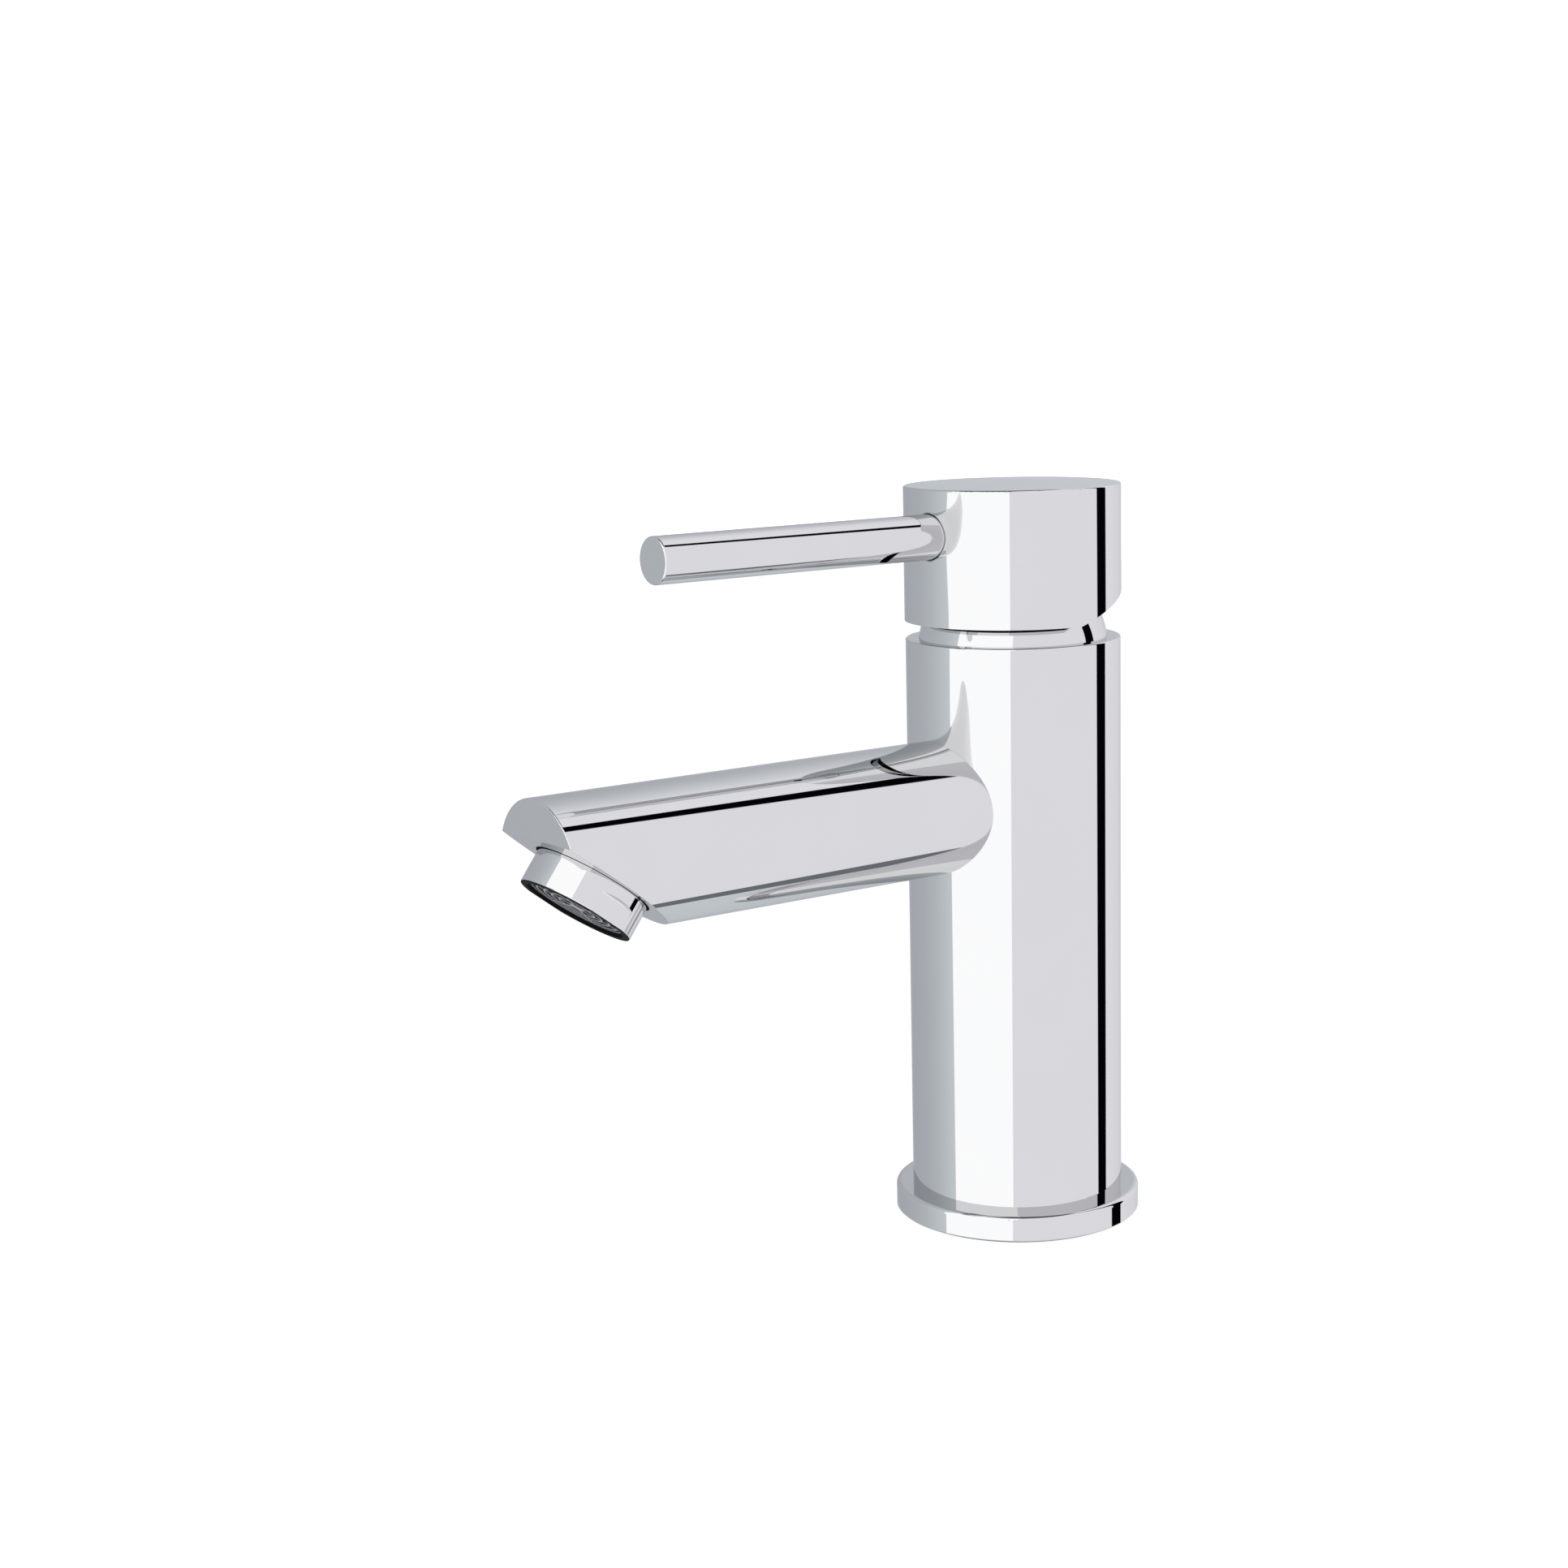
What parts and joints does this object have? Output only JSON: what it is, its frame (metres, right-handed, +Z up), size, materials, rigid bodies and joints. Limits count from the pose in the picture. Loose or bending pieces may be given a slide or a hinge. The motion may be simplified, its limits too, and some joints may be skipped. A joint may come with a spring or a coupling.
{
  "type": "bathroom mixer faucet",
  "caption": "Single-lever basin mixer: round column on a base ring, straight spout with a slanted tip and aerator, tilting handle cap with a pin lever.",
  "frame": {"origin": "centre of the tap's foot, on the surface of the basin", "axes": "+Z up; the spout and the lever rod point to -Y; X is across, cold inlet on +X and hot on -X"},
  "size_m": [0.0522, 0.1449, 0.1563],
  "materials": {
    "chrome": "polished chrome plating on brass",
    "brass": "turned",
    "rubber": "moulded",
    "white_plastic": "moulded acetal",
    "dark_plastic": "moulded glass-filled",
    "grey_plastic": "moulded",
    "ceramic": "lapped",
    "steel": "turned stainless"
  },
  "bodies": {
    "tap_body": {"base_seal": "rubber", "base_ring": "chrome", "column": "chrome", "spout": "chrome", "aerator_housing": "chrome", "aerator_washer": "rubber", "aerator_sieve": "grey_plastic", "aerator_jet_plate": "grey_plastic", "aerator_screens": "steel", "aerator_grid": "dark_plastic", "aerator_sleeve": "dark_plastic", "port_seals": "rubber", "cartridge_base": "white_plastic", "disc_seals": "rubber", "fixed_disc": "ceramic", "cartridge_housing": "white_plastic", "retaining_nut": "brass", "dome_ring": "rubber", "dome_cover": "chrome"},
    "swivel": {"swivel_collar": "dark_plastic", "collar_seal": "rubber", "pivot_pin": "steel"},
    "disc": {"moving_disc": "ceramic", "disc_carrier": "white_plastic"},
    "handle": {"spindle": "steel", "handle_cap": "chrome", "lever_rod": "chrome", "lever_stud": "steel", "cap_grub_screw": "steel"}
  },
  "joints": [
    {"name": "temperature_swivel", "type": "hinge", "parent": "tap_body", "child": "swivel", "pos_m": [0, 0, 0.1275], "axis": [0, 0, 1], "range_deg": [-50, 50]},
    {"name": "lever_lift", "type": "hinge", "parent": "swivel", "child": "handle", "pos_m": [0, 0, 0.1275], "axis": [-1, 0, 0], "range_deg": [0, 23]},
    {"name": "disc_slide", "type": "slide", "parent": "swivel", "child": "disc", "axis": [0, -1, 0], "range_m": [0, 0.0048]}
  ],
  "couplings": [
    {"joint": "disc_slide", "follows": "lever_lift", "m_per_rad": 0.0118}
  ]
}
